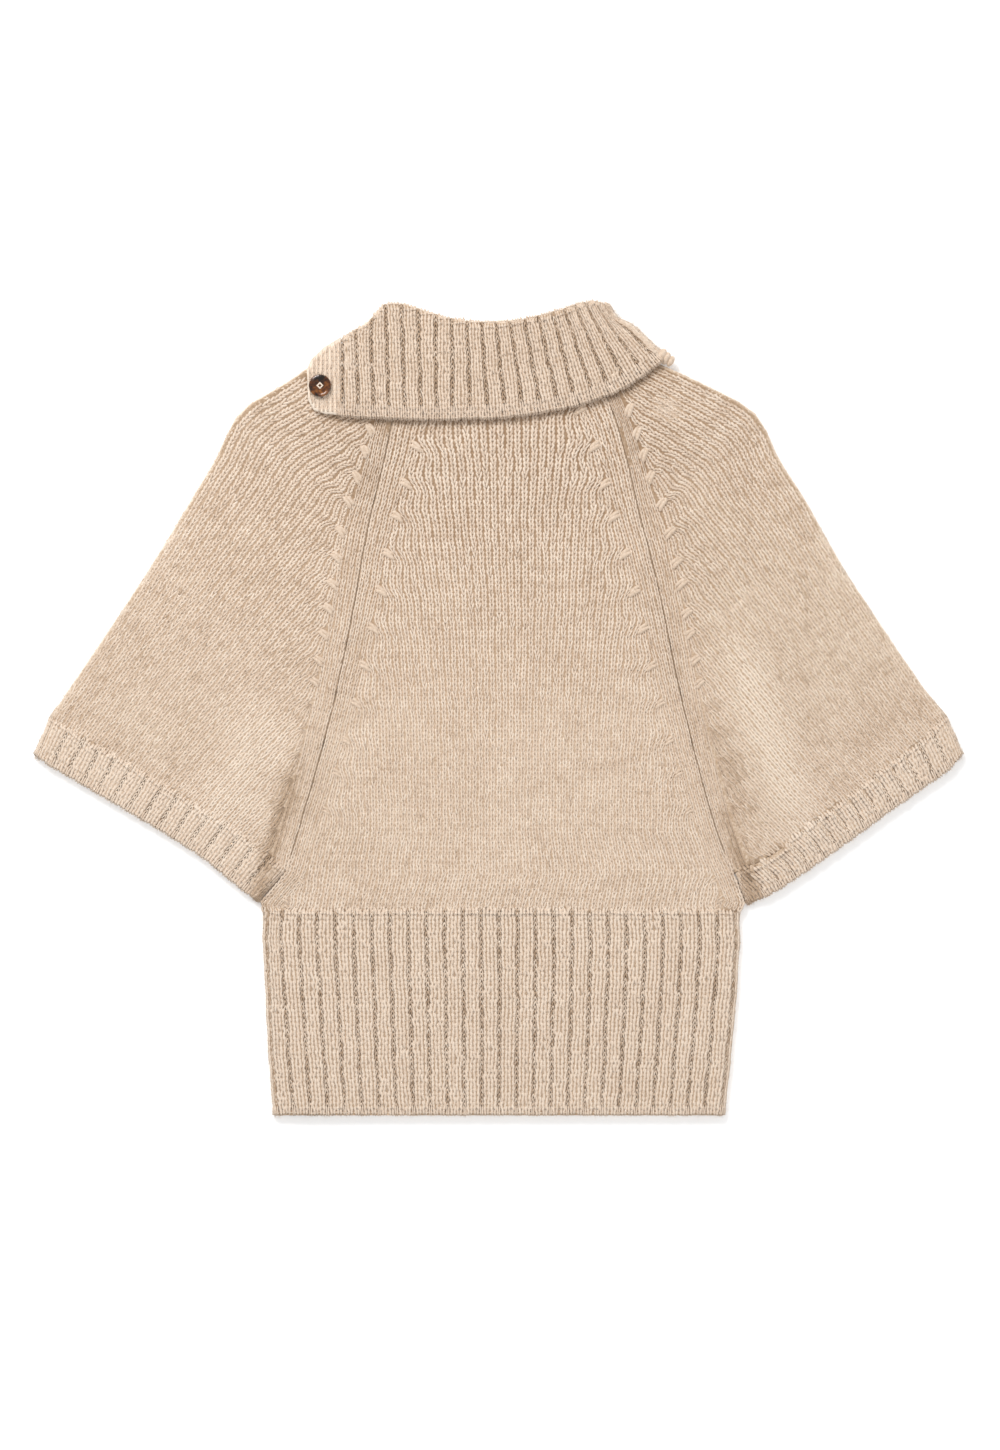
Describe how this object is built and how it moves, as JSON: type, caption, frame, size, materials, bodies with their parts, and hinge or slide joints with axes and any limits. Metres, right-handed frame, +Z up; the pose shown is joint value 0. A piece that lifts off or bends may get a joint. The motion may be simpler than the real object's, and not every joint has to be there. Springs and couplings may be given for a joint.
{
  "type": "cropped knit sweater",
  "caption": "Cropped wool sweater laid flat: raglan elbow-length sleeves, deep ribbed waistband, ribbed cuffs, turn-down collar buttoned at one shoulder.",
  "frame": {"origin": "on the surface that the sweater lies on, under the middle of its outline", "axes": "+X across the sweater from the buttoned shoulder to the other, +Y from the hem to the collar, +Z up from the surface, with the sweater's front facing up"},
  "size_m": [0.6978, 0.6108, 0.0176],
  "materials": {
    "wool_knit": "oatmeal melange wool in plain knit, brushed and matt",
    "wool_rib": "the same wool in a two by one rib",
    "button_horn": "polished mottled brown horn"
  },
  "bodies": {
    "root": {"front_panel": "wool_knit", "back_panel": "wool_knit", "sleeve_left": "wool_knit", "sleeve_right": "wool_knit", "cuff_left": "wool_rib", "cuff_right": "wool_rib", "waistband": "wool_rib", "collar": "wool_rib", "button_band": "wool_knit", "button": "button_horn"}
  },
  "joints": []
}
